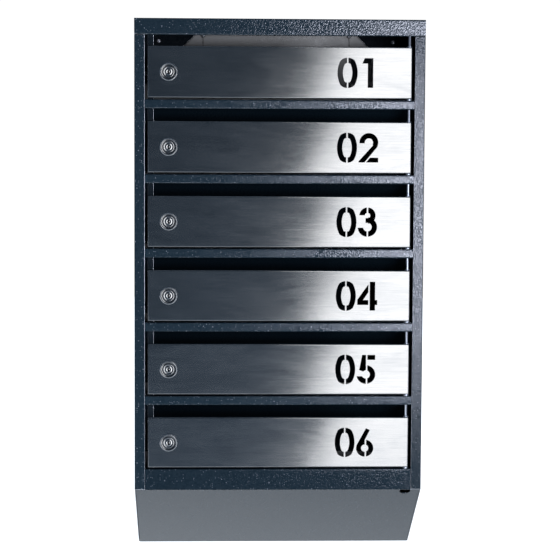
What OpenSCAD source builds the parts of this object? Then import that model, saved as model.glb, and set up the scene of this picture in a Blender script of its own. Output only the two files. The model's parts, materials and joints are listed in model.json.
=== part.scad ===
// Wall-hung cluster mailbox unit: one folded steel housing, six letter compartments,
// six stainless doors on one hinge rod, and a cam lock in each door.
// X runs to the viewer's right, Y runs from the doors back to the wall, Z is up.
// The origin is the middle of the four wall holes, on the wall face of the back.

/* [Housing] */
// Overall width
unit_w = 390; // [340:1:460]
// Depth from the wall to the front face
unit_d = 160; // [130:1:220]
// How far the underside drops from its front edge to the wall
slope_drop = 107; // [60:1:140]
// Thickness of the housing's sheet steel
sheet_t = 1.0; // [0.8:0.1:1.5]
// Outside radius of the housing's bends
bend_r = 1.6; // [1.5:0.1:1.7]
// Width of each side panel's front fold
stile_w = 14; // [12:0.5:20]
// Width of each side panel's rear fold
rear_fold_w = 40; // [30:1:50]
// Height of the front rail over the first slot
top_rail_h = 22; // [18:0.5:30]
// Height of the front rail under the last door
bottom_rail_h = 28; // [20:0.5:40]
// Height of the rail between two compartments
rail_h = 12; // [9:0.5:18]
// Depth of a rail's upper fold, before the shelf slopes away
rail_fold_d = 20; // [18:0.5:26]

/* [Slots and doors] */
// Height of the first letter slot
top_slot_h = 15; // [12:0.5:30]
// Height of the other letter slots
slot_h = 17; // [12:0.5:30]
// Height of a door
door_h = 68.5; // [60:0.5:100]
// Gap between a door and the rail under it
door_gap = 2.5; // [2:0.1:4]
// Gap between a door and the stile at each side
side_gap = 4; // [3.5:0.1:5]
// Thickness of the door's stainless sheet
door_t = 1.0; // [0.8:0.1:1.5]
// Depth of the door's folded edges
door_fold_d = 12; // [11:0.5:16]
// Outside radius of the door's bends
door_bend_r = 1.5; // [1.2:0.1:3]

/* [Hinge] */
// Radius of the hinge rod
rod_r = 2.0; // [1.5:0.1:2.4]
// Radial clearance between the rod and the holes it passes
rod_clear = 0.08; // [0.05:0.01:0.1]
// Distance from a door's free side edge to the rod's axis
rod_inset = 3.2; // [3:0.1:4]
// Distance from the front face to the rod's axis
rod_depth = 5.0; // [4:0.1:5.2]
// Outside radius of the washer under each door
washer_r = 4.0; // [3.5:0.1:5]
// Radius of the hole in the underside that the rod goes in by
rod_access_r = 7.5; // [6:0.5:8.5]

/* [Locks] */
// Distance from a door's left edge to its lock's axis
lock_inset = 28; // [24:0.5:40]
// Radius of the lock's front bezel
bezel_r = 12; // [11.6:0.1:13]
// Height of the bezel over the door
bezel_h = 2.2; // [1.8:0.1:3]
// Radius of the lock's barrel
barrel_r = 9.3; // [9:0.1:9.6]
// Radius of the plug's front
plug_face_r = 7.9; // [7:0.1:8]
// Radius of the plug inside the barrel
plug_r = 6.0; // [5:0.1:6.4]
// Radial clearance between the plug and the barrel
plug_clear = 0.08; // [0.05:0.01:0.1]
// Length of the cam from the lock's axis to its tip
cam_len = 27; // [25:0.5:30]
// Width of the cam
cam_w = 12; // [10:0.5:14]
// Thickness of the cam
cam_t = 1.4; // [1:0.1:2]
// Width of the bar that the cams lock behind
catch_w = 8; // [6:0.5:9]
// Thickness of that bar
catch_t = 1.5; // [1:0.1:2]

/* [Wall fixing] */
// Radius of each wall hole
wall_hole_r = 3.25; // [2.5:0.05:4]
// Distance from each side to its wall holes
wall_hole_inset = 27; // [23:0.5:32]
// Distance from the top down to the upper wall holes
hole_from_top = 45; // [35:1:60]
// Distance from the lowest edge up to the lower wall holes
hole_from_low = 60; // [40:1:80]
// Length of the corner gussets' two straight edges
gusset_leg = 92; // [80:1:110]
// Thickness of the gussets
gusset_t = 1.2; // [1:0.1:2]

/* [Numbers] */
// Distance from a door's hinge edge to the left side of its number
number_inset = 100.2; // [90:0.5:130]
// Width of the uncut bridges in the numbers
bridge_w = 2.0; // [1.5:0.1:3]
// Width of the numbers' strokes
stroke = 7.1; // [5:0.1:8]

/* [Hidden] */
$fn = 64;
doors = 6;
base_names = [
    "side_left", "side_right", "top_panel", "bottom_panel", "back_panel",
    "gusset_left", "gusset_right", "gusset_rivets", "back_rivets",
    "catch_bar", "hinge_rod", "rod_clips", "door_washers",
];
shelf_names = [for (i = [1:doors - 1]) str("shelf_", i)];
door_names = [for (i = [1:doors]) str("door_", i)];
lock_body_names = [for (i = [1:doors]) str("lock_body_", i)];
lock_nut_names = [for (i = [1:doors]) str("lock_nut_", i)];
lock_plug_names = [for (i = [1:doors]) str("lock_plug_", i)];
lock_cam_names = [for (i = [1:doors]) str("lock_cam_", i)];
cam_screw_names = [for (i = [1:doors]) str("cam_screw_", i)];

// Colours
paint = "#23343f";
zinc = "#9a9ca0";
steel = "#c4c6c9";
chrome = "#d8dadc";

// Flats that make up one bend
bend_steps = 6;

// Small clearances and overlaps
fit_gap = 0.2;
stop_gap = 0.3;
seam = 0.3;
eps = 0.01;
cut_over = 1;

// Heights
pitch = rail_h + slot_h + door_h + door_gap;
front_h = top_rail_h + top_slot_h + door_h + door_gap + (doors - 1) * pitch + bottom_rail_h;
total_h = front_h + slope_drop;
wall_hole_dz = total_h - hole_from_top - hole_from_low;
wall_hole_dx = unit_w - 2 * wall_hole_inset;
z_top = wall_hole_dz / 2 + hole_from_top;
z_low = z_top - total_h;
z_front_low = z_low + slope_drop;
rail_1_top = z_top - top_rail_h - top_slot_h - door_h - door_gap;
function rail_top(i) = rail_1_top - (i - 1) * pitch;
function door_low(i) = rail_top(i) + door_gap;
function door_mid(i) = door_low(i) + door_h / 2;

// Widths and depths
half_w = unit_w / 2;
y_front = -unit_d;
inner_half = half_w - bend_r - fit_gap;
stile_edge = half_w - stile_w;
rail_half = stile_edge - fit_gap;
door_half = stile_edge - side_gap;
mid_t = sheet_t / 2;
slope_tan = slope_drop / unit_d;
slope_cos = unit_d / norm([unit_d, slope_drop]);
function underside(y) = z_front_low - (y - y_front) * slope_tan;
rear_fold_edge = half_w - rear_fold_w;

// Back panel, in front of the rear folds
back_t = 1.0;
back_y = -sheet_t;
back_front = back_y - back_t;
back_half = inner_half;
back_low = z_low + 3;
back_top = z_top - sheet_t - fit_gap;
crease_x = half_w - gusset_leg + 0.5;
crease_w = 1.6;
crease_d = 0.5;

// Rivets
rivet_head_r = 3.4;
rivet_head_h = 1.2;
rivet_core_r = 1.1;
rivet_shank_r = 1.6;
back_rivet_drop = 15;
gusset_rivet_x = half_w - 28.6;
gusset_rivet_drop = 24;
gusset_low_rivet_x = half_w - 12;
gusset_low_rivet_drop = 70;

// Rear ends of the shelves
shelf_end_y = back_front - fit_gap - mid_t;
shelf_lip_h = 10;
rear_lip_h = 22;
rail_lip_d = 12;
behind_stile = y_front + sheet_t + fit_gap;

// Hinge
rod_x = door_half - rod_inset;
rod_y = y_front + rod_depth;
rod_tail = 9;
rod_low = z_front_low + bottom_rail_h - sheet_t - rod_tail;
rod_high = z_top - top_rail_h + sheet_t + rod_tail;
clip_r = 3.7;
clip_t = 0.8;

// Catch bar behind the doors' left folds
catch_x = -door_half - 0.4;
catch_y = y_front + door_fold_d + stop_gap;
catch_tail = 6;
top_lip_d = door_fold_d + stop_gap;

// Lock, measured forward from the door's face
lock_x = -door_half + lock_inset;
cam_gap = 0.4;
cam_front = -(door_fold_d + stop_gap + catch_t + cam_gap);
barrel_end = cam_front + stop_gap;
nut_t = 4;
nut_corner_r = 13.6;
groove_floor = 0.9;
plug_seat = -0.9;
plug_face = 1.7;
plug_edge = 0.5;
plug_dish = 0.45;
boss_r = 2.9;
key_w = 1.8;
key_h = 5.2;
key_depth = 8;
tail_half = 3.5;
tail_clear = 0.08;
screw_head_r = 4.5;
screw_head_t = 1.8;
screw_r = 2;
screw_clear = 0.05;
screw_bite = 5.5;

// Numbers
digit_h = 39.4;
zero_w = 27;
zero_h = 40.4;
zero_side_r = 35;
digit_pitch = 29.2;

// Turns a section drawn in (y, z) into a solid centred on x = 0
module along_x(length) {
    rotate([90, 0, 90])
        linear_extrude(length, center = true)
            children();
}

function unit(v) = v / norm(v);
function left_of(v) = [-v[1], v[0]];
function turned(v, a) = [v[0] * cos(a) - v[1] * sin(a), v[0] * sin(a) + v[1] * cos(a)];

// Points of one bend, on the side of the sheet that lies side * t / 2 to the left of its middle line
function bend_points(before, corner, after, t, side) =
    let (
        way_in = unit(corner - before),
        way_out = unit(after - corner),
        way = sign(cross(way_in, way_out)),
        angle = acos(way_in * way_out),
        mid_r = bend_r - t / 2,
        centre = corner - way_in * mid_r * tan(angle / 2) + left_of(way_in) * way * mid_r,
        spoke = -left_of(way_in) * way
    )
    [for (k = [0:bend_steps]) centre + turned(spoke, way * angle * k / bend_steps) * (mid_r - way * side * t / 2)];

// One long side of a bent sheet
function sheet_side(points, t, side) =
    let (last = len(points) - 1)
    concat(
        [points[0] + left_of(unit(points[1] - points[0])) * side * t / 2],
        [for (i = [1:last - 1]) each bend_points(points[i - 1], points[i], points[i + 1], t, side)],
        [points[last] + left_of(unit(points[last] - points[last - 1])) * side * t / 2]
    );

function backwards(list) = [for (i = [len(list) - 1:-1:0]) list[i]];

// Section of a sheet of thickness t that follows a line of points, bent with radius bend_r at each
module sheet_line(points, t) {
    polygon(concat(sheet_side(points, t, 1), backwards(sheet_side(points, t, -1))));
}

// Two copies, one on each side of x = 0
module both_sides() {
    children();
    mirror([1, 0, 0]) children();
}

module rod_hole() {
    translate([rod_x, rod_y, z_low])
        cylinder(r = rod_r + rod_clear, h = total_h);
}

module catch_slot() {
    translate([catch_x - fit_gap, catch_y - fit_gap, z_low])
        cube([catch_w + 2 * fit_gap, catch_t + 2 * fit_gap, total_h]);
}

// A hole through the back at (x, z), from in front of the gusset to behind the folds
module rear_hole(x, z, r) {
    translate([x, cut_over, z])
        rotate([90, 0, 0])
            cylinder(r = r, h = 8);
}

module wall_holes() {
    for (x = [-1, 1], z = [-1, 1])
        rear_hole(x * wall_hole_dx / 2, z * wall_hole_dz / 2, wall_hole_r);
}

module gusset_rivet_holes(clear) {
    for (side = [-1, 1]) {
        rear_hole(side * gusset_rivet_x, z_top - gusset_rivet_drop, rivet_shank_r + clear);
        rear_hole(side * gusset_low_rivet_x, z_top - gusset_low_rivet_drop, rivet_shank_r + clear);
    }
}

module back_rivet_holes(clear) {
    for (side = [-1, 1])
        rear_hole(side * crease_x, z_top - back_rivet_drop, rivet_shank_r + clear);
}

// Left side panel: wall, front stile and wide rear fold
module side_panel() {
    stile_top = z_top - top_rail_h - seam;
    wall_x = -half_w + mid_t;
    outline = [
        [0, z_low],
        [0, back_top],
        [behind_stile, back_top],
        [behind_stile, stile_top],
        [y_front, stile_top],
        [y_front, z_front_low],
    ];
    difference() {
        intersection() {
            translate([0, 0, z_low])
                linear_extrude(total_h)
                    sheet_line([
                        [-stile_edge, y_front + mid_t],
                        [wall_x, y_front + mid_t],
                        [wall_x, -mid_t],
                        [-rear_fold_edge, -mid_t],
                    ], sheet_t);
            along_x(2 * unit_w)
                polygon(outline);
        }
        translate([-half_w + bend_r, -sheet_t - fit_gap, z_low - cut_over])
            cube([rear_fold_w, sheet_t + 2 * fit_gap, back_low - z_low + cut_over]);
        wall_holes();
        gusset_rivet_holes(fit_gap);
    }
}

module side_left() {
    color(paint) side_panel();
}

module side_right() {
    color(paint) mirror([1, 0, 0]) side_panel();
}

// Top panel: plate, front rail with a lip under it, and a rear fold
module top_panel() {
    plate_z = z_top - mid_t;
    front_y = y_front + mid_t;
    lip_z = z_top - top_rail_h + mid_t;
    mid_z = z_top - top_rail_h / 2;
    fold_half = rear_fold_edge - fit_gap;
    color(paint) difference() {
        union() {
            along_x(unit_w)
                sheet_line([[0, plate_z], [front_y, plate_z], [front_y, lip_z + bend_r]], sheet_t);
            along_x(2 * inner_half)
                sheet_line([[front_y, mid_z], [front_y, lip_z], [y_front + top_lip_d, lip_z]], sheet_t);
            translate([-fold_half, -sheet_t, z_top - rear_lip_h])
                cube([2 * fold_half, sheet_t, rear_lip_h - mid_t]);
        }
        rod_hole();
        back_rivet_holes(fit_gap);
    }
}

// Bottom panel: last front rail, sloped underside with the rod's access hole, rear fold
module bottom_panel() {
    top_z = z_front_low + bottom_rail_h - mid_t;
    upright = sheet_t / slope_cos;
    front_y = y_front + mid_t;
    fold_half = rear_fold_edge - fit_gap;
    slope = [
        [behind_stile, underside(behind_stile)],
        [0, z_low],
        [0, z_low + upright],
        [behind_stile, underside(behind_stile) + upright],
    ];
    color(paint) union() {
        difference() {
            union() {
                intersection() {
                    along_x(2 * rail_half)
                        sheet_line([
                            [y_front + rail_fold_d, top_z],
                            [front_y, top_z],
                            [front_y, underside(front_y) + upright / 2],
                            [-unit_d / 2, underside(-unit_d / 2) + upright / 2],
                        ], sheet_t);
                    union() {
                        translate([-half_w, y_front, z_low])
                            cube([unit_w, behind_stile - y_front, total_h]);
                        translate([-half_w, y_front, top_z - bottom_rail_h / 2])
                            cube([unit_w, unit_d, bottom_rail_h]);
                    }
                }
                along_x(2 * inner_half)
                    translate([behind_stile, top_z - mid_t])
                        square([rail_fold_d + y_front - behind_stile, sheet_t]);
            }
            translate([0, 0, bottom_rail_h])
                rod_hole();
            translate([0, 0, bottom_rail_h])
                catch_slot();
        }
        difference() {
            along_x(2 * inner_half)
                polygon(slope);
            translate([rod_x, rod_y, z_low])
                cylinder(r = rod_access_r, h = total_h);
        }
        translate([-fold_half, -sheet_t, z_low + upright / 2])
            cube([2 * fold_half, sheet_t, rear_lip_h]);
    }
}

// Back panel in front of the rear folds, with two upright creases
module back_panel() {
    color(zinc) difference() {
        translate([-back_half, back_front, back_low])
            cube([2 * back_half, back_t, back_top - back_low]);
        both_sides()
            translate([crease_x - crease_w / 2, back_front - cut_over, z_low])
                cube([crease_w, crease_d + cut_over, total_h - back_rivet_drop - rivet_head_r]);
        wall_holes();
        gusset_rivet_holes(fit_gap);
        back_rivet_holes(fit_gap);
    }
}

// Triangular plate in the right upper corner, in front of the back panel
module gusset() {
    difference() {
        translate([back_half, back_front, back_top])
            rotate([90, 0, 0])
                linear_extrude(gusset_t)
                    polygon([[0, 0], [-gusset_leg, 0], [0, -gusset_leg]]);
        wall_holes();
        gusset_rivet_holes(fit_gap);
    }
}

module gusset_left() {
    color(paint) mirror([1, 0, 0]) gusset();
}

module gusset_right() {
    color(paint) gusset();
}

// Blind rivet whose head sits at y = seat and whose shank ends flush with the wall face
module rivet(x, z, seat) {
    translate([x, seat, z])
        rotate([90, 0, 0])
            difference() {
                union() {
                    intersection() {
                        cylinder(r = rivet_head_r, h = rivet_head_h);
                        translate([0, 0, rivet_head_h - 2 * rivet_head_r])
                            sphere(r = 2 * rivet_head_r);
                    }
                    translate([0, 0, seat])
                        cylinder(r = rivet_shank_r, h = -seat + eps);
                }
                translate([0, 0, rivet_head_h / 2])
                    cylinder(r = rivet_core_r, h = rivet_head_h);
            }
}

module gusset_rivets() {
    seat = back_front - gusset_t;
    color(steel) both_sides() {
        rivet(gusset_rivet_x, z_top - gusset_rivet_drop, seat);
        rivet(gusset_low_rivet_x, z_top - gusset_low_rivet_drop, seat);
    }
}

module back_rivets() {
    color(steel) both_sides()
        rivet(crease_x, z_top - back_rivet_drop, back_front);
}

// Rail and shelf in one sheet: lip, front face, upper fold, slope to the back, rear lip
module shelf(i) {
    top_z = rail_top(i) - mid_t;
    lip_z = rail_top(i) - rail_h + mid_t;
    front_y = y_front + mid_t;
    fold_y = y_front + rail_fold_d;
    end_z = top_z - (shelf_end_y - fold_y) * slope_tan;
    color(paint) difference() {
        union() {
            along_x(2 * rail_half)
                sheet_line([
                    [y_front + rail_lip_d, lip_z],
                    [front_y, lip_z],
                    [front_y, top_z],
                    [y_front + rail_fold_d / 2, top_z],
                ], sheet_t);
            along_x(2 * inner_half)
                sheet_line([
                    [behind_stile, top_z],
                    [fold_y, top_z],
                    [shelf_end_y, end_z],
                    [shelf_end_y, end_z - shelf_lip_h],
                ], sheet_t);
        }
        rod_hole();
        catch_slot();
    }
}

module catch_bar() {
    low = z_front_low + bottom_rail_h - sheet_t - catch_tail;
    high = z_top - top_rail_h + sheet_t + catch_tail;
    color(paint)
        translate([catch_x, catch_y, low])
            cube([catch_w, catch_t, high - low]);
}

module hinge_rod() {
    color(steel)
        translate([rod_x, rod_y, rod_low])
            cylinder(r = rod_r, h = rod_high - rod_low);
}

// Ring that fits on the hinge rod, with its lower face at z
module rod_ring(z, r, t) {
    translate([rod_x, rod_y, z])
        difference() {
            cylinder(r = r, h = t);
            translate([0, 0, -cut_over])
                cylinder(r = rod_r + rod_clear, h = t + 2 * cut_over);
        }
}

// Retaining rings: one over each door, and one at each end of the rod
module rod_clips() {
    color(steel) {
        for (i = [1:doors])
            rod_ring(door_low(i) + door_h + stop_gap, clip_r, clip_t);
        rod_ring(z_front_low + bottom_rail_h - sheet_t - seam - clip_t, clip_r, clip_t);
        rod_ring(z_top - top_rail_h + sheet_t + seam, clip_r, clip_t);
    }
}

// Spacing washers that the doors turn on
module door_washers() {
    color(steel)
        for (i = [1:doors])
            rod_ring(rail_top(i), washer_r, door_gap - stop_gap);
}

// Rectangle with rounded front corners, drawn with its front edge on the line y = 0
module folded_section(width, depth, r) {
    translate([-width / 2, r])
        square([width, depth - r]);
    translate([-width / 2 + r, 0])
        square([width - 2 * r, r + eps]);
    for (side = [-1, 1])
        translate([side * (width / 2 - r), r])
            circle(r = r);
}

// Block with its front edges rounded on all four sides, front face on y = 0
module rounded_front(width, height, depth, r) {
    intersection() {
        linear_extrude(height, center = true)
            folded_section(width, depth, r);
        rotate([0, 90, 0])
            linear_extrude(width + 2, center = true)
                folded_section(height, depth, r);
    }
}

// Ring between two radii
module ring(r_out, r_in) {
    difference() {
        circle(r = r_out);
        circle(r = r_in);
    }
}

// Upright oval: half-round ends and gently bowed sides
module oval(w, h, side_r) {
    intersection() {
        union() {
            square([w, h - w], center = true);
            for (side = [-1, 1])
                translate([0, side * (h - w) / 2])
                    circle(d = w);
        }
        translate([side_r - w / 2, 0])
            circle(r = side_r);
        translate([w / 2 - side_r, 0])
            circle(r = side_r);
    }
}

module upright_bridge(x) {
    translate([x - bridge_w / 2, -cut_over])
        square([bridge_w, digit_h + 3]);
}

module digit_0() {
    translate([zero_w / 2, digit_h / 2])
        difference() {
            oval(zero_w, zero_h, zero_side_r);
            oval(zero_w - 2 * stroke, zero_h - 2 * stroke, zero_side_r - stroke);
            square([bridge_w, zero_h + 2], center = true);
        }
}

module digit_1() {
    right = 18.6;
    left = right - stroke;
    polygon([
        [left, 0], [right, 0], [right, digit_h], [left - 4.2, digit_h],
        [left - 7.5, digit_h - stroke], [left, digit_h - stroke],
    ]);
}

module digit_2() {
    bowl_r = 12.7;
    bowl = [13.7, digit_h - bowl_r];
    cut_z = 25.7;
    difference() {
        translate(bowl) ring(bowl_r, bowl_r - stroke);
        translate([-1, -1]) square([bowl[0] + 6.3, cut_z + 1]);
        translate([bowl[0], 0]) square([30, 19.5]);
    }
    polygon([[19.3, 22.9], [0, 1.6], [0, 0], [8, 0], [25.2, 20.9], [24.6, 22.9]]);
    polygon([[9.9, 0], [26.5, 0], [26.5, 6.4], [15.3, 6.4]]);
}

module digit_3() {
    upper_r = 10.9;
    lower_r = 13;
    mid_x = 12.7;
    difference() {
        union() {
            difference() {
                translate([mid_x, digit_h - upper_r]) ring(upper_r, upper_r - stroke);
                translate([-1, 0]) square([mid_x + 1, digit_h - upper_r + 0.4]);
            }
            difference() {
                translate([mid_x, lower_r]) ring(lower_r, lower_r - stroke);
                translate([-1, lower_r - 0.9]) square([mid_x + 1, lower_r + 1]);
            }
        }
        upright_bridge(mid_x);
    }
    translate([mid_x - 2.5, 18.7])
        square([3.6, 6.4]);
}

module digit_4() {
    gap_x = 14.8;
    bar_z = 7.6;
    difference() {
        polygon([[0, bar_z], [gap_x, bar_z], [gap_x, 35.5], [0, 14.6]]);
        polygon([[7.6, 14.1], [gap_x + 1, 14.1], [gap_x + 1, 26.4]]);
    }
    translate([gap_x + bridge_w, 0])
        square([stroke, digit_h - 0.4]);
    translate([gap_x + bridge_w, bar_z])
        square([stroke + 3, 6.5]);
}

module digit_5() {
    bowl_r = 12.7;
    mid_x = 12.4;
    bar_low = digit_h - 6.6;
    difference() {
        translate([mid_x, bowl_r]) ring(bowl_r, bowl_r - stroke);
        upright_bridge(mid_x + bridge_w / 2);
        translate([-1, 10.3]) square([mid_x + 1, 20]);
    }
    polygon([[3.3, 18.8], [8.6, 16.8], [mid_x, 19.2], [mid_x, digit_h], [7.3, digit_h]]);
    translate([mid_x + bridge_w, bar_low])
        square([10.4, digit_h - bar_low]);
}

module digit_6() {
    bowl_r = 11.7;
    eye_r = 4.95;
    difference() {
        union() {
            translate([bowl_r, bowl_r]) circle(r = bowl_r);
            polygon([[1.5, 17.4], [bowl_r, bowl_r], [bowl_r, 22.9], [18.5, 36.6], [13.2, 38.9]]);
        }
        translate([bowl_r, bowl_r]) circle(r = eye_r);
        translate([bowl_r, -cut_over]) square([bridge_w, bowl_r + cut_over]);
        translate([bowl_r, bowl_r]) square([bridge_w, bowl_r + 0.4]);
    }
}

module second_digit(i) {
    if (i == 1) digit_1();
    if (i == 2) digit_2();
    if (i == 3) digit_3();
    if (i == 4) digit_4();
    if (i == 5) digit_5();
    if (i == 6) digit_6();
}

// Cutter for a door's two-digit stencil number
module number_cutter(i) {
    translate([door_half - number_inset, door_t + cut_over, -digit_h / 2])
        rotate([90, 0, 0])
            linear_extrude(door_t + 2 * cut_over) {
                digit_0();
                translate([digit_pitch, 0]) second_digit(i);
            }
}

// Door: folded stainless pan with its number, lock hole and hinge holes
module door(i) {
    color(steel) difference() {
        translate([0, y_front, door_mid(i)])
            difference() {
                rounded_front(2 * door_half, door_h, door_fold_d, door_bend_r);
                translate([0, door_t, 0])
                    rounded_front(
                        2 * (door_half - door_t), door_h - 2 * door_t,
                        door_fold_d, door_bend_r - door_t
                    );
                number_cutter(i);
                translate([lock_x, cut_over + door_t, 0])
                    rotate([90, 0, 0])
                        cylinder(r = barrel_r + fit_gap, h = door_t + 2 * cut_over);
            }
        rod_hole();
    }
}

// Puts a lock piece, drawn with +Z out of the door's face, into door i
module at_lock(i) {
    translate([lock_x, y_front, door_mid(i)])
        rotate([90, 0, 0])
            children();
}

// Lock housing: rounded bezel with a groove inside it, and the barrel behind
module lock_body(i) {
    rim_r = bezel_h / 2;
    color(chrome) at_lock(i)
        difference() {
            union() {
                rotate_extrude()
                    intersection() {
                        union() {
                            translate([bezel_r - rim_r, bezel_h - rim_r]) circle(r = rim_r, $fn = 32);
                            translate([plug_r + 1, 0]) square([bezel_r - rim_r - plug_r - 1, groove_floor]);
                            translate([bezel_r - 2 * rim_r, 0]) square([2 * rim_r, bezel_h - rim_r]);
                        }
                        square([bezel_r, bezel_h]);
                    }
                translate([0, 0, barrel_end])
                    cylinder(r = barrel_r, h = -barrel_end + eps);
            }
            translate([0, 0, barrel_end - cut_over])
                cylinder(r = plug_r + plug_clear, h = -barrel_end + bezel_h + 2 * cut_over);
            translate([0, 0, plug_seat])
                cylinder(r = plug_face_r + plug_clear, h = bezel_h + 2);
        }
}

module lock_nut(i) {
    color(zinc) at_lock(i)
        translate([0, 0, -door_t - nut_t])
            difference() {
                cylinder(r = nut_corner_r, h = nut_t, $fn = 6);
                translate([0, 0, -cut_over])
                    cylinder(r = barrel_r + rod_clear, h = nut_t + 2 * cut_over);
            }
}

// Upright keyhole with half-round ends
module key_slot() {
    square([key_w, key_h - key_w], center = true);
    for (side = [-1, 1])
        translate([0, side * (key_h - key_w) / 2])
            circle(d = key_w);
}

// Plug that the key turns, with a square tail for the cam
module lock_plug(i) {
    tail_len = cam_t + tail_clear;
    face_low = plug_seat + tail_clear;
    color(chrome) at_lock(i)
        difference() {
            union() {
                translate([0, 0, face_low])
                    cylinder(r = plug_face_r, h = plug_face - plug_edge - face_low);
                translate([0, 0, plug_face - plug_edge])
                    cylinder(r1 = plug_face_r, r2 = plug_face_r - plug_edge, h = plug_edge);
                translate([0, 0, cam_front + tail_clear])
                    cylinder(r = plug_r, h = face_low - cam_front - tail_clear + eps);
                translate([-tail_half, -tail_half, cam_front - tail_len])
                    cube([2 * tail_half, 2 * tail_half, tail_len + 2 * tail_clear]);
            }
            translate([0, 0, plug_face - plug_dish])
                difference() {
                    cylinder(r = plug_face_r - 1.4, h = plug_dish + cut_over);
                    translate([0, 0, -eps])
                        cylinder(r = boss_r, h = plug_dish + eps);
                }
            translate([0, 0, plug_face - key_depth])
                linear_extrude(key_depth + cut_over)
                    key_slot();
            translate([0, 0, cam_front - tail_len - cut_over])
                cylinder(r = screw_r + screw_clear, h = tail_len + screw_bite + cut_over);
        }
}

// Cam: hangs down when unlocked, and turns behind the catch bar when locked
module lock_cam(i) {
    hub_r = 7.5;
    tip_r = 2.5;
    color(zinc) at_lock(i)
        translate([0, 0, cam_front - cam_t])
            linear_extrude(cam_t)
                difference() {
                    union() {
                        circle(r = hub_r);
                        translate([-cam_w / 2, -cam_len + tip_r])
                            square([cam_w, cam_len - tip_r]);
                        translate([-cam_w / 2 + tip_r, -cam_len])
                            square([cam_w - 2 * tip_r, tip_r + eps]);
                        for (side = [-1, 1])
                            translate([side * (cam_w / 2 - tip_r), -cam_len + tip_r])
                                circle(r = tip_r);
                    }
                    square(2 * (tail_half + tail_clear), center = true);
                }
}

module cam_screw(i) {
    head_top = cam_front - cam_t - 2 * tail_clear;
    slot_w = 1.2;
    color(zinc) at_lock(i)
        difference() {
            union() {
                translate([0, 0, head_top - screw_head_t])
                    cylinder(r = screw_head_r, h = screw_head_t);
                translate([0, 0, head_top - eps])
                    cylinder(r = screw_r, h = screw_bite);
            }
            for (turn = [0, 90])
                rotate(turn)
                    translate([-screw_head_r / 2, -slot_w / 2, head_top - screw_head_t - cut_over])
                        cube([screw_head_r, slot_w, cut_over + 1]);
        }
}

side_left();
side_right();
top_panel();
bottom_panel();
back_panel();
gusset_left();
gusset_right();
gusset_rivets();
back_rivets();
catch_bar();
hinge_rod();
rod_clips();
door_washers();
for (i = [1:doors - 1])
    shelf(i);
for (i = [1:doors]) {
    door(i);
    lock_body(i);
    lock_nut(i);
    lock_plug(i);
    lock_cam(i);
    cam_screw(i);
}
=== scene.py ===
"""Looks of the cluster mailbox unit: materials, fine edges, studio light and camera."""

import json
import math

import bpy
from mathutils import Matrix, Vector


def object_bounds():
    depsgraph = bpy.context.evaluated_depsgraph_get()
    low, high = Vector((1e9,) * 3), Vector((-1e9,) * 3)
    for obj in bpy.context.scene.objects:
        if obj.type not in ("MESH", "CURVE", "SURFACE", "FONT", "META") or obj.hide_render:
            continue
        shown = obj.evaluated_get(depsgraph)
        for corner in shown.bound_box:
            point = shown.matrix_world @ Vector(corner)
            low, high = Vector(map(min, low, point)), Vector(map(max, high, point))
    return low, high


MM = 0.001

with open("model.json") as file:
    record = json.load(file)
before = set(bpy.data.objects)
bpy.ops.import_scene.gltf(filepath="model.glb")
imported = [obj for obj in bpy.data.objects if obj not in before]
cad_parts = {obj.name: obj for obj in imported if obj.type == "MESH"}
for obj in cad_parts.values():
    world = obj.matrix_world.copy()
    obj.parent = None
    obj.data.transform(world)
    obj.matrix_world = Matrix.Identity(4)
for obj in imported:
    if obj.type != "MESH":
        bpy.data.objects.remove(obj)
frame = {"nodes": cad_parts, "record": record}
cad_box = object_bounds()
NODES = frame["nodes"]

# Places in the CAD model that the materials follow
FRONT_Y = -160 * MM
SLOPE_RISE = 107 * MM
DOOR_PITCH = 100 * MM
LOWEST_DOOR_Z = -241.5 * MM
LOCK_X = -149 * MM
LOWEST_LOCK_Z = -207.25 * MM

# Camera: where it stands from the wall-hole centre, and how it is turned, in degrees
CAMERA_AT = (-0.100, -2.712, 0.226)
CAMERA_YAW = -2.27
CAMERA_PITCH = -4.74
CAMERA_ROLL = -0.30
CAMERA_LENS = 122.1

# How far the floor lies under the unit's lowest edge
FLOOR_DROP = 0.80

# Light colours
WHITE = (1.0, 1.0, 1.0)
COOL = (0.92, 0.965, 1.14)


# ---------------------------------------------------------------- node helpers

def set_range(node, low, high, to_low, to_high):
    """Sets a Map Range node to take low..high to to_low..to_high."""
    numbers = {"From Min": low, "From Max": high, "To Min": to_low, "To Max": to_high}
    for socket, number in numbers.items():
        node.inputs[socket].default_value = number


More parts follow.
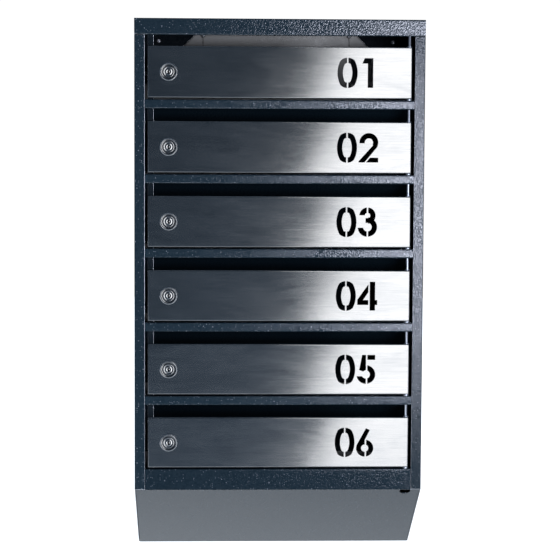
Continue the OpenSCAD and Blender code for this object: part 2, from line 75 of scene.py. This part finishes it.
class Shader:
    """A material's node tree, with short calls to add and join nodes."""

    def __init__(self, name):
        self.material = bpy.data.materials.new(name)
        self.material.use_nodes = True
        self.tree = self.material.node_tree
        self.tree.nodes.clear()
        self.surface = self.add("ShaderNodeBsdfPrincipled")
        output = self.add("ShaderNodeOutputMaterial")
        self.join(self.surface.outputs["BSDF"], output.inputs["Surface"])
        self.place = self.add("ShaderNodeTexCoord").outputs["Object"]

    def add(self, kind, **settings):
        node = self.tree.nodes.new(kind)
        for key, value in settings.items():
            setattr(node, key, value)
        return node

    def join(self, source, target):
        self.tree.links.new(source, target)

    def set(self, **values):
        """Constants on the surface shader's own sockets, named with underscores."""
        for key, value in values.items():
            self.surface.inputs[key.replace("_", " ")].default_value = value

    def axes(self):
        """The object coordinates X, Y and Z."""
        node = self.add("ShaderNodeSeparateXYZ")
        self.join(self.place, node.inputs["Vector"])
        return [node.outputs[name] for name in "XYZ"]

    def scaled(self, *scale):
        """Object coordinates stretched by scale, a number for each axis."""
        node = self.add("ShaderNodeMapping")
        node.inputs["Scale"].default_value = scale
        self.join(self.place, node.inputs["Vector"])
        return node.outputs["Vector"]

    def noise_node(self, scale, detail, roughness=0.5, where=None, distortion=0.0):
        node = self.add("ShaderNodeTexNoise")
        node.inputs["Scale"].default_value = scale
        node.inputs["Detail"].default_value = detail
        node.inputs["Roughness"].default_value = roughness
        node.inputs["Distortion"].default_value = distortion
        self.join(where or self.place, node.inputs["Vector"])
        return node

    def noise(self, scale, detail, roughness=0.5, where=None, distortion=0.0):
        return self.noise_node(scale, detail, roughness, where, distortion).outputs["Fac"]

    def cells(self, scale, feature="F1", where=None):
        """Voronoi node with cells of about 1/scale metres."""
        node = self.add("ShaderNodeTexVoronoi", feature=feature)
        node.inputs["Scale"].default_value = scale
        self.join(where or self.place, node.inputs["Vector"])
        return node

    def curve(self, value, low, high, to_low, to_high):
        """Value mapped from the range low to high onto to_low to to_high."""
        node = self.add("ShaderNodeMapRange")
        set_range(node, low, high, to_low, to_high)
        self.join(value, node.inputs["Value"])
        return node.outputs["Result"]

    def math(self, operation, *values):
        """Result of a Math node on numbers or outputs."""
        node = self.add("ShaderNodeMath", operation=operation)
        for socket, value in zip(node.inputs, values):
            if isinstance(value, (int, float)):
                socket.default_value = value
            else:
                self.join(value, socket)
        return node.outputs["Value"]

    def less(self, value, part):
        """1 minus the given part of value."""
        return self.math("SUBTRACT", 1.0, self.math("MULTIPLY", value, part))

    def mix(self, factor, first, second):
        """Colour from first to second, plain or an output, as factor goes from 0 to 1."""
        node = self.add("ShaderNodeMix", data_type="RGBA")
        for name, color in (("A", first), ("B", second)):
            if isinstance(color, tuple):
                node.inputs[name].default_value = (*color, 1.0)
            else:
                self.join(color, node.inputs[name])
        self.join(factor, node.inputs["Factor"])
        return node.outputs["Result"]

    def glint_spots(self, scale, share, radius):
        """Up to 1 on small round spots, in the given share of cells of 1/scale metres, where
        bright painted glints go.
        """
        node = self.cells(scale)
        chance = self.add("ShaderNodeSeparateColor")
        self.join(node.outputs["Color"], chance.inputs["Color"])
        chosen = self.math("LESS_THAN", chance.outputs["Red"], share)
        within = self.math("LESS_THAN", node.outputs["Distance"], radius)
        strength = chance.outputs["Green"]
        return self.math("MULTIPLY", self.math("MULTIPLY", chosen, within), strength)

    def bump(self, height, distance, strength=1.0, under=None):
        node = self.add("ShaderNodeBump")
        node.inputs["Strength"].default_value = strength
        node.inputs["Distance"].default_value = distance
        self.join(height, node.inputs["Height"])
        if under is not None:
            self.join(under, node.inputs["Normal"])
        return node.outputs["Normal"]

    def painted_corner_shade(self, color, depth):
        """Colour darkened in corners and holes that are about depth across, as painted shade."""
        corner = self.add("ShaderNodeAmbientOcclusion", samples=8)
        corner.inputs["Distance"].default_value = depth
        # Painted shade: the colour goes towards near-black where ambient occlusion finds nearby
        # surfaces.
        unshaded = self.math("POWER", corner.outputs["AO"], 2.5)
        return self.mix(unshaded, (0.01, 0.01, 0.012), color)

    def finish(self, color, roughness, normal=None):
        self.join(color, self.surface.inputs["Base Color"])
        self.join(roughness, self.surface.inputs["Roughness"])
        if normal is not None:
            self.join(normal, self.surface.inputs["Normal"])
        return self.material


# ---------------------------------------------------------------- materials

def all_of(s, conditions):
    mask = conditions[0]
    for other in conditions[1:]:
        mask = s.math("MULTIPLY", mask, other)
    return mask


def inside_mask(s):
    """1 inside the housing, where the paint is darkened as painted shade and made duller, and 0
    on its outer faces.
    """
    x, y, z = s.axes()
    low, high = cad_box
    skin = 0.7 * MM
    return all_of(s, [
        s.math("LESS_THAN", s.math("ABSOLUTE", x), high.x - skin),
        s.math("GREATER_THAN", y, FRONT_Y + 3 * skin),
        s.math("LESS_THAN", y, high.y - 3 * skin),
        s.math("LESS_THAN", z, high.z - skin),
        s.math("GREATER_THAN", z, low.z + SLOPE_RISE + 1 * MM),
    ])


def underside_mask(s):
    """1 on the sloping underside, where the coat has flowed smooth, and 0 above it."""
    x, y, z = s.axes()
    low, high = cad_box
    return all_of(s, [
        s.math("LESS_THAN", z, low.z + SLOPE_RISE - 1 * MM),
        s.math("GREATER_THAN", y, FRONT_Y + 2 * MM),
        s.math("LESS_THAN", s.math("ABSOLUTE", x), high.x - 0.7 * MM),
    ])


def hammered_cells(s):
    """Height of small domed cells with wandering outlines, 1 at each top."""
    wander = s.noise_node(400.0, 2.0)
    nudge = s.add("ShaderNodeVectorMath", operation="MULTIPLY_ADD")
    nudge.inputs[1].default_value = (2.1 * MM, 2.1 * MM, 2.1 * MM)
    s.join(wander.outputs["Color"], nudge.inputs[0])
    s.join(s.place, nudge.inputs[2])
    cell = s.cells(460.0, "SMOOTH_F1", nudge.outputs["Vector"])
    cell.inputs["Smoothness"].default_value = 0.15
    outward = s.curve(cell.outputs["Distance"], 0.0, 0.7, 0.0, 1.0)
    return s.math("SUBTRACT", 1.0, s.math("POWER", outward, 2.0))


def hammertone_paint():
    """Glossy blue-grey powder coat that has set in small hammered cells, with bright flecks as
    painted glints, and painted shade inside the housing.
    """
    s = Shader("hammertone_paint")
    dome = hammered_cells(s)
    fine = s.noise(1400.0, 2.0)
    patchy = s.noise(9.0, 3.0)
    inside = inside_mask(s)
    hammered = s.less(underside_mask(s), 0.85)
    shade = s.math("ADD", s.math("MULTIPLY", dome, 0.6), s.math("MULTIPLY", patchy, 0.4))
    coat = s.mix(shade, (0.014, 0.029, 0.041), (0.024, 0.045, 0.061))
    # Painted glints: bright flecks in the coat's colour, mostly left off the underside.
    painted_glint = s.math("MULTIPLY", s.glint_spots(480.0, 0.14, 0.34), hammered)
    outside = s.mix(painted_glint, coat, (0.42, 0.47, 0.53))
    # Painted shade: inside the housing the coat turns near-black.
    color = s.mix(inside, outside, (0.007, 0.014, 0.020))
    dull = s.math("MULTIPLY", inside, 0.35)
    roughness = s.math("ADD", s.curve(fine, 0.3, 0.7, 0.09, 0.15), dull)
    by_cell = s.math("MULTIPLY", s.curve(dome, 0.2, 0.8, -0.24, 0.30), hammered)
    gloss = s.math("MULTIPLY", s.math("ADD", 0.52, by_cell), s.less(inside, 0.85))
    s.join(gloss, s.surface.inputs["Specular IOR Level"])
    height = s.math("ADD", dome, s.math("MULTIPLY", fine, 0.12))
    height = s.math("MULTIPLY", height, hammered)
    return s.finish(color, roughness, s.bump(height, 0.07 * MM))


def door_bow(s):
    """Height in metres of each door's slight twist and of the dents in the sheet."""
    x, _, z = s.axes()
    up = s.math("FRACT", s.math("DIVIDE", s.math("SUBTRACT", z, LOWEST_DOOR_Z), DOOR_PITCH))
    # 0.018 radians of sideways tilt over one door pitch, level a third of the way up
    tilt = s.math("MULTIPLY", s.math("SUBTRACT", up, 0.34), 0.018)
    twist = s.math("MULTIPLY", x, tilt)
    dents = s.math("MULTIPLY", s.noise(11.0, 1.0, 0.4), 0.19 * MM)
    return s.math("ADD", twist, dents)


def brushed_stainless():
    """Stainless sheet brushed along its width, slightly bowed, with faint smudges."""
    s = Shader("brushed_stainless")
    streaks = s.noise(1.0, 4.0, 0.6, s.scaled(22.0, 520.0, 520.0))
    hairs = s.noise(1.0, 5.0, 0.65, s.scaled(60.0, 2600.0, 2600.0))
    smudge = s.noise(1.0, 5.0, 0.62, s.scaled(11.0, 38.0, 38.0), distortion=0.9)
    grain = s.math("ADD", s.math("MULTIPLY", streaks, 0.65), s.math("MULTIPLY", hairs, 0.35))
    brushed = s.math("MULTIPLY", s.curve(grain, 0.36, 0.64, 0.0, 1.0), 0.45)
    clouded = s.math("MULTIPLY", s.curve(smudge, 0.35, 0.65, 0.0, 1.0), 0.55)
    tone = s.math("ADD", brushed, clouded)
    color = s.mix(tone, (0.52, 0.53, 0.545), (0.735, 0.73, 0.73))
    roughness = s.curve(tone, 0.0, 1.0, 0.15, 0.19)
    s.set(Metallic=1.0, Anisotropic=0.9, Anisotropic_Rotation=0.25)
    tangent = s.add("ShaderNodeTangent", direction_type="RADIAL", axis="Z")
    s.join(tangent.outputs["Tangent"], s.surface.inputs["Tangent"])
    bow = s.bump(door_bow(s), 1.0)
    return s.finish(color, roughness, s.bump(grain, 0.01 * MM, 0.16, bow))


def galvanised_sheet():
    """Dull zinc-coated sheet with a faint spangle, and painted shade in its corners."""
    s = Shader("galvanised_sheet")
    spangle = s.cells(120.0).outputs["Distance"]
    cloud = s.noise(14.0, 4.0, 0.55)
    fine = s.noise(900.0, 3.0, 0.6)
    mixed = s.math("ADD", s.math("MULTIPLY", spangle, 0.45), s.math("MULTIPLY", cloud, 0.55))
    color = s.mix(mixed, (0.30, 0.305, 0.32), (0.50, 0.50, 0.51))
    roughness = s.curve(mixed, 0.2, 0.8, 0.42, 0.58)
    s.set(Metallic=0.75)
    # Painted shade darkens the sheet in corners and holes about 2.5 mm across.
    return s.finish(s.painted_corner_shade(color, 2.5 * MM), roughness, s.bump(fine, 0.03 * MM, 0.4))


def lock_rings(s):
    """Height of the turned rings on a lock's face, which come round each lock's axis."""
    x, _, z = s.axes()
    across = s.math("SUBTRACT", x, LOCK_X)
    lowest_edge = LOWEST_LOCK_Z - DOOR_PITCH / 2
    steps = s.math("DIVIDE", s.math("SUBTRACT", z, lowest_edge), DOOR_PITCH)
    up = s.math("MULTIPLY", s.math("SUBTRACT", s.math("FRACT", steps), 0.5), DOOR_PITCH)
    squares = s.math("ADD", s.math("MULTIPLY", across, across), s.math("MULTIPLY", up, up))
    ring_pitch = 3.4 * MM
    turns = s.math("MULTIPLY", s.math("SQRT", squares), 2 * math.pi / ring_pitch)
    return s.math("COSINE", turns)


def plated(name, dark, light, rough_low, rough_high, painted_corner_shade=0.0, rings=False):
    """Plated or drawn metal with handling marks, and painted shade to a depth in its corners."""
    s = Shader(name)
    marks = s.noise(600.0, 5.0, 0.7, distortion=0.6)
    cloud = s.noise(60.0, 3.0)
    mixed = s.math("ADD", s.math("MULTIPLY", marks, 0.5), s.math("MULTIPLY", cloud, 0.5))
    color = s.mix(mixed, dark, light)
    roughness = s.curve(mixed, 0.3, 0.7, rough_low, rough_high)
    s.set(Metallic=1.0)
    if painted_corner_shade > 0.0:
        # Painted shade darkens the colour in corners, grooves and holes.
        color = s.painted_corner_shade(color, painted_corner_shade)
    turned = s.bump(lock_rings(s), 0.11 * MM) if rings else None
    return s.finish(color, roughness, s.bump(marks, 0.015 * MM, 0.3, turned))


def lock_chrome():
    dark, light = (0.60, 0.61, 0.63), (0.82, 0.83, 0.85)
    # Painted shade, 3 mm deep, darkens the lock's ring groove and keyhole.
    return plated("lock_chrome", dark, light, 0.10, 0.20, painted_corner_shade=3.0 * MM, rings=True)


def zinc_fitting():
    return plated("zinc_fitting", (0.34, 0.35, 0.37), (0.55, 0.56, 0.58), 0.30, 0.46)


def bright_steel():
    return plated("bright_steel", (0.52, 0.55, 0.60), (0.76, 0.79, 0.83), 0.34, 0.46)


def rivet_steel():
    dark, light = (0.50, 0.51, 0.53), (0.76, 0.77, 0.79)
    # Painted shade, 2 mm deep, darkens the rivets' corners.
    return plated("rivet_steel", dark, light, 0.30, 0.44, painted_corner_shade=2.0 * MM)


def bare_edge():
    return plated("bare_edge", (0.45, 0.46, 0.48), (0.75, 0.76, 0.78), 0.25, 0.40)


def studio_floor():
    s = Shader("studio_floor")
    cloud = s.noise(3.0, 3.0)
    s.set(Specular_IOR_Level=0.2)
    color = s.mix(cloud, (0.84, 0.84, 0.84), (0.87, 0.87, 0.87))
    return s.finish(color, s.curve(cloud, 0.3, 0.7, 0.8, 0.9))


MAKERS = {
    "housing_paint": hammertone_paint,
    "stainless_door": brushed_stainless,
    "zinc_sheet": galvanised_sheet,
    "lock_chrome": lock_chrome,
    "zinc_fitting": zinc_fitting,
    "bright_steel": bright_steel,
    "rivet_steel": rivet_steel,
}


def dress_nodes():
    """Gives each CAD node the material of its slot, and painted ones bare cut edges."""
    made = {slot: maker() for slot, maker in MAKERS.items()}
    bare = bare_edge()
    for part in frame["record"]["subparts"]:
        materials = NODES[part["node"]].data.materials
        slot = part["material_slot"]
        materials.clear()
        materials.append(made[slot])
        if slot == "housing_paint":
            materials.append(bare)


# ---------------------------------------------------------------- fine edges

def soften(node, width, segments=2, clamp=True):
    """Welds a node's facets together and rounds its sharp edges, as worked metal is."""
    weld = node.modifiers.new("weld", "WELD")
    weld.merge_threshold = 1e-6
    bevel = node.modifiers.new("edge", "BEVEL")
    bevel.width = width
    bevel.segments = segments
    bevel.limit_method = "ANGLE"
    bevel.angle_limit = math.radians(35)
    bevel.harden_normals = True
    bevel.use_clamp_overlap = clamp
    if len(node.data.materials) > 1:
        bevel.material = 1


def soften_edges():
    sheets = ("top", "bottom", "shelf", "back_panel", "gusset", "catch", "door_")
    for name, node in NODES.items():
        if name.startswith(("lock_body", "lock_plug")):
            soften(node, 0.3 * MM, 3)
        elif name.startswith("side"):
            soften(node, 0.4 * MM, clamp=False)
        elif name.startswith(sheets):
            soften(node, 0.22 * MM)
        else:
            soften(node, 0.15 * MM)


# ---------------------------------------------------------------- stage

def world_strength(nodes, links):
    """Brightness of the surroundings: low in front, rising behind and below."""
    place = nodes.new("ShaderNodeTexCoord")
    split = nodes.new("ShaderNodeSeparateXYZ")
    links.new(place.outputs["Generated"], split.inputs["Vector"])
    back = nodes.new("ShaderNodeMapRange")
    back.interpolation_type = "SMOOTHSTEP"
    set_range(back, -0.45, 0.4, 0.037, 0.75)
    links.new(split.outputs["Y"], back.inputs["Value"])
    low = nodes.new("ShaderNodeMapRange")
    set_range(low, 0.03, -0.20, 0.0, 0.068)
    links.new(split.outputs["Z"], low.inputs["Value"])
    both = nodes.new("ShaderNodeMath")
    links.new(back.outputs["Result"], both.inputs[0])
    links.new(low.outputs["Result"], both.inputs[1])
    return both.outputs["Value"]


def studio_world():
    """White backdrop, and dimmer surroundings that are bluer where they are darker."""
    world = bpy.data.worlds.new("studio")
    bpy.context.scene.world = world
    world.use_nodes = True
    nodes, links = world.node_tree.nodes, world.node_tree.links
    nodes.clear()
    seen = nodes.new("ShaderNodeLightPath")
    strength = nodes.new("ShaderNodeMix")
    strength.inputs["B"].default_value = 1.05
    links.new(seen.outputs["Is Camera Ray"], strength.inputs["Factor"])
    links.new(world_strength(nodes, links), strength.inputs["A"])
    tone = nodes.new("ShaderNodeMix")
    tone.data_type = "RGBA"
    tone.inputs["A"].default_value = (0.66, 0.95, 1.34, 1.0)
    tone.inputs["B"].default_value = (*WHITE, 1.0)
    links.new(strength.outputs["Result"], tone.inputs["Factor"])
    sky = nodes.new("ShaderNodeBackground")
    links.new(tone.outputs["Result"], sky.inputs["Color"])
    links.new(strength.outputs["Result"], sky.inputs["Strength"])
    output = nodes.new("ShaderNodeOutputWorld")
    links.new(sky.outputs["Background"], output.inputs["Surface"])


def floor_plane(level):
    side, near, far = 6.5, -2.5, 12.5
    mesh = bpy.data.meshes.new("floor")
    corners = [(-side, near, level), (side, near, level), (side, far, level), (-side, far, level)]
    mesh.from_pydata(corners, [], [(0, 1, 2, 3)])
    floor = bpy.data.objects.new("floor", mesh)
    bpy.context.scene.collection.objects.link(floor)
    mesh.materials.append(studio_floor())
    return floor


def softbox(name, centre, aim, size, radiance, lit, color=WHITE, turn=0.0):
    """Rectangular light, turned about Z, that falls only on the objects in lit."""
    width, height = size
    data = bpy.data.lights.new(name, "AREA")
    data.shape = "RECTANGLE"
    data.size = width
    data.size_y = height
    data.energy = radiance * math.pi * width * height
    data.color = color
    light = bpy.data.objects.new(name, data)
    light.location = centre
    aimed = (Vector(aim) - Vector(centre)).to_track_quat("-Z", "Y").to_matrix()
    light.rotation_euler = (Matrix.Rotation(turn, 3, "Z") @ aimed).to_euler()
    light.visible_camera = False
    bpy.context.scene.collection.objects.link(light)
    group = bpy.data.collections.new(name + "_lit")
    for thing in lit:
        group.objects.link(thing)
    light.light_linking.receiver_collection = group


def floor_light(floor, level):
    """Light for the floor from under the unit back, which the underside mirrors."""
    side, above, near, turn = 16.0, 0.4, 0.42, math.radians(13)
    x, y = -math.sin(turn) * side / 2, near + math.cos(turn) * side / 2
    tint = (0.95, 0.99, 1.04)
    softbox("floor_light", (x, y, level + above), (x, y, level), (side, side), 1.27, [floor],
            tint, turn)


def key_light(name, left, low, width, height, radiance, lit, color=WHITE):
    """Upright softbox to the right of the camera, facing the unit's front."""
    at = Vector((left + width / 2, -2.7, low + height / 2))
    softbox(name, at, at + Vector((0, 1, 0)), (width, height), radiance, lit, color)


def light_stage():
    """Floor, surroundings and a light of its own for each group of pieces."""
    level = cad_box[0].z - FLOOR_DROP
    floor_light(floor_plane(level), level)
    studio_world()
    housing = [NODES[name] for name in frame["record"]["behaviour"]["bodies"]["housing"]]
    doors = [node for node in NODES.values() if node not in housing]
    back, stile = NODES["back_panel"], NODES["side_right"]
    painted = [node for node in housing if node != back]
    raised = [node for node in painted if node.name != "bottom_panel"]
    front = [node for node in painted if node != stile]
    softbox("floor_bounce", (-0.1, -1.3, -1.15), (0.0, FRONT_Y, -0.3), (0.9, 0.9), 3.0, raised,
            (0.93, 0.98, 1.08))
    key_light("key_housing", 0.355, -0.42, 1.00, 0.96, 14.6, front, COOL)
    key_light("key_stile", 0.355, -0.45, 1.00, 0.86, 10.4, [stile], COOL)
    key_light("key_back", 0.40, -0.42, 0.90, 0.72, 17.0, [back], (0.97, 0.99, 1.04))
    key_light("key_doors", 0.222, -1.12, 1.10, 2.12, 1.60, doors)


def camera():
    data = bpy.data.cameras.new("camera")
    data.lens = CAMERA_LENS
    data.sensor_width = 36.0
    data.clip_end = 200.0
    eye = bpy.data.objects.new("camera", data)
    bpy.context.scene.collection.objects.link(eye)
    turn = (
        Matrix.Rotation(math.radians(CAMERA_YAW), 4, "Z")
        @ Matrix.Rotation(math.radians(CAMERA_PITCH), 4, "X")
        @ Matrix.Rotation(math.radians(CAMERA_ROLL), 4, "Y")
        @ Matrix.Rotation(math.radians(90), 4, "X")
    )
    eye.matrix_world = Matrix.Translation(CAMERA_AT) @ turn
    bpy.context.scene.camera = eye


bpy.context.scene.view_settings.view_transform = "Standard"
dress_nodes()
soften_edges()
light_stage()
camera()
